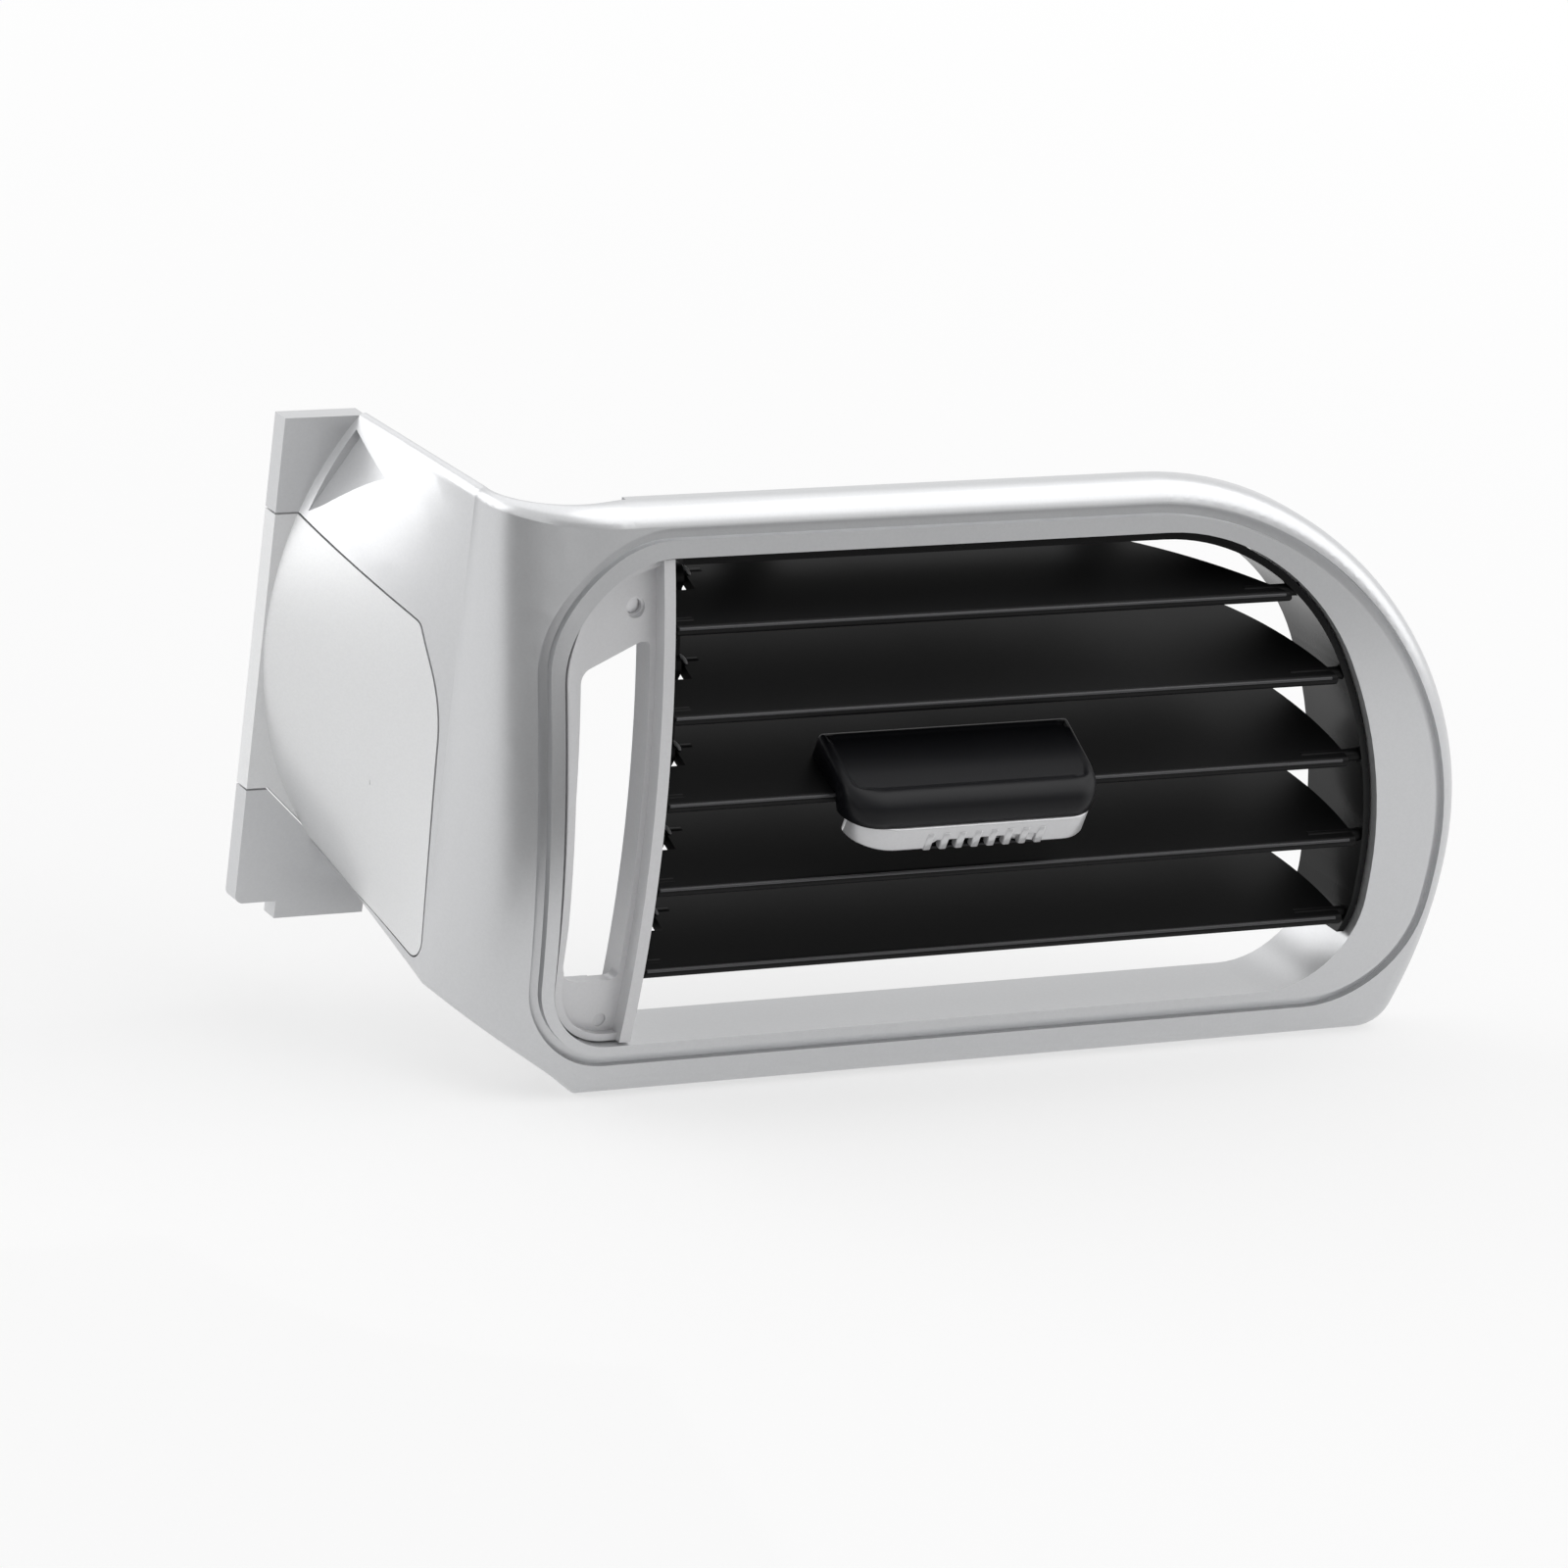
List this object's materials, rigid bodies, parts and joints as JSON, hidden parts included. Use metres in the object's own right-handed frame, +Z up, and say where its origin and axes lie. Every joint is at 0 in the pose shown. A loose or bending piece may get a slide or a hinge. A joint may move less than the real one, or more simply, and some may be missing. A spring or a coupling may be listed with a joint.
{
  "type": "dashboard air vent",
  "caption": "Left-hand dashboard air vent: a silver D-shaped bezel that sweeps round the panel's end, black tilting louvres and a sliding knob.",
  "frame": {"origin": "centre of the two fixing holes, on the rear face of the flange", "axes": "+X along the front towards the vent's rounded end, +Y back into the dashboard, +Z up"},
  "size_m": [0.1885, 0.0604, 0.0951],
  "materials": {
    "silver_paint": "satin silver paint on moulded plastic",
    "bracket_paint": "satin grey-silver paint on moulded plastic",
    "gloss_black": "gloss black",
    "black_plastic": "fine satin grain",
    "soft_black": "soft-touch black",
    "grip_silver": "satin silver",
    "pad_rubber": "matt",
    "screw_steel": "zinc plated",
    "spring_steel": "phosphated spring steel"
  },
  "bodies": {
    "housing": {"bezel": "silver_paint", "side_cover": "silver_paint", "left_bracket": "bracket_paint", "right_carrier": "gloss_black", "bracket_screws": "screw_steel", "carrier_screws": "screw_steel", "cover_clips": "spring_steel", "mounting_clips": "spring_steel"},
    "slat_1": {"slat_1": "black_plastic"},
    "slat_2": {"slat_2": "black_plastic"},
    "slat_3": {"slat_3": "black_plastic"},
    "slat_4": {"slat_4": "black_plastic"},
    "slat_5": {"slat_5": "black_plastic"},
    "link_bar": {"link_bar": "black_plastic"},
    "knob": {"knob_upper": "soft_black", "knob_grip": "grip_silver", "knob_lower": "soft_black", "knob_pad": "pad_rubber"}
  },
  "joints": [
    {"name": "slat_3_tilt", "type": "hinge", "parent": "housing", "child": "slat_3", "pos_m": [0.087, -0.05133, -0.00785], "axis": [1, 0, 0], "range_deg": [-38, 5]},
    {"name": "slat_1_tilt", "type": "hinge", "parent": "housing", "child": "slat_1", "pos_m": [0.087, -0.04782, 0.01895], "axis": [1, 0, 0], "range_deg": [-38, 5]},
    {"name": "slat_2_tilt", "type": "hinge", "parent": "housing", "child": "slat_2", "pos_m": [0.087, -0.05013, 0.00555], "axis": [1, 0, 0], "range_deg": [-38, 5]},
    {"name": "slat_4_tilt", "type": "hinge", "parent": "housing", "child": "slat_4", "pos_m": [0.087, -0.05145, -0.02125], "axis": [1, 0, 0], "range_deg": [-38, 5]},
    {"name": "slat_5_tilt", "type": "hinge", "parent": "housing", "child": "slat_5", "pos_m": [0.087, -0.05049, -0.03465], "axis": [1, 0, 0], "range_deg": [-38, 5]},
    {"name": "link_bar_pivot", "type": "hinge", "parent": "slat_3", "child": "link_bar", "pos_m": [0.0321, -0.04071, -0.00398], "axis": [1, 0, 0], "range_deg": [-5, 38]},
    {"name": "knob_slide", "type": "slide", "parent": "slat_3", "child": "knob", "axis": [1, 0, 0], "range_m": [-0.012, 0.036]}
  ],
  "couplings": [
    {"joint": "slat_1_tilt", "follows": "slat_3_tilt", "ratio": 1},
    {"joint": "slat_2_tilt", "follows": "slat_3_tilt", "ratio": 1},
    {"joint": "slat_4_tilt", "follows": "slat_3_tilt", "ratio": 1},
    {"joint": "slat_5_tilt", "follows": "slat_3_tilt", "ratio": 1},
    {"joint": "link_bar_pivot", "follows": "slat_3_tilt", "ratio": -1}
  ]
}
